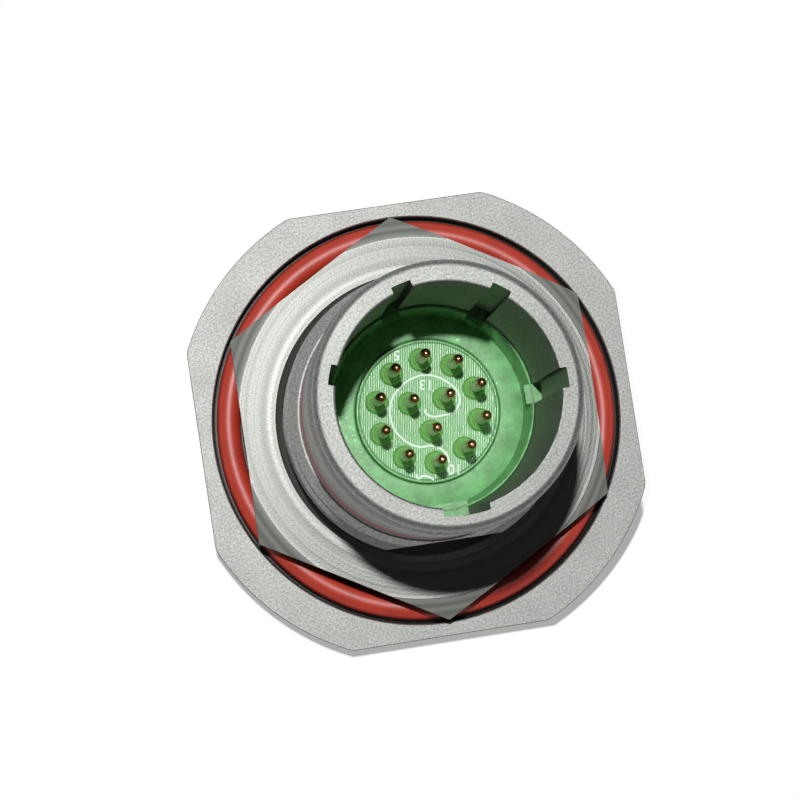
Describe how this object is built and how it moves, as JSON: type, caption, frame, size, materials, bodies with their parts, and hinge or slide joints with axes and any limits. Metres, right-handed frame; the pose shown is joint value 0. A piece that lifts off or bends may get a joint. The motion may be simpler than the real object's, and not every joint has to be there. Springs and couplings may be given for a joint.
{
  "type": "push-pull circular connector receptacle",
  "caption": "Jam-nut panel receptacle of a push-pull circular connector: a keyed smooth barrel round gold pins in a green insert, with a square-round flange, red panel seal and hexagon nut.",
  "frame": {"origin": "centre of the flange's panel face, on the barrel's axis", "axes": "+Z along the barrel towards the mating plug; -Y towards the main keyway and the anti-rotation flat; +X to the right of them as the mouth is faced"},
  "size_m": [0.032, 0.032, 0.0353],
  "materials": {
    "plated_shell": "bead-blasted aluminium with a grey plating",
    "turned_nut": "turned face with concentric tool marks, same plating",
    "red_rubber": "smooth glossy red rubber",
    "green_rubber": "satin green rubber",
    "green_seal_face": "glossy green rubber, finely striated",
    "green_plastic": "hard moulded green plastic",
    "grommet_rubber": "soft satin green rubber",
    "spring_steel": "plain spring steel",
    "gold_contact": "gold-plated, turned",
    "copper_clip": "rolled beryllium copper"
  },
  "bodies": {
    "receptacle": {"shell": "plated_shell", "panel_seal": "red_rubber", "peripheral_seal": "green_rubber", "interface_seal": "green_seal_face", "front_insert": "green_plastic", "rear_insert": "green_plastic", "rear_grommet": "grommet_rubber", "retaining_ring": "spring_steel", "contact_1": "gold_contact", "contact_2": "gold_contact", "contact_3": "gold_contact", "contact_4": "gold_contact", "contact_5": "gold_contact", "contact_6": "gold_contact", "contact_7": "gold_contact", "contact_8": "gold_contact", "contact_9": "gold_contact", "contact_10": "gold_contact", "contact_11": "gold_contact", "contact_12": "gold_contact", "contact_13": "gold_contact", "clip_1": "copper_clip", "clip_2": "copper_clip", "clip_3": "copper_clip", "clip_4": "copper_clip", "clip_5": "copper_clip", "clip_6": "copper_clip", "clip_7": "copper_clip", "clip_8": "copper_clip", "clip_9": "copper_clip", "clip_10": "copper_clip", "clip_11": "copper_clip", "clip_12": "copper_clip", "clip_13": "copper_clip"},
    "jam_nut": {"jam_nut": "turned_nut"}
  },
  "joints": [
    {"name": "jam_nut_travel", "type": "slide", "parent": "receptacle", "child": "jam_nut", "axis": [0, 0, 1], "range_m": [0, 0.005]}
  ]
}
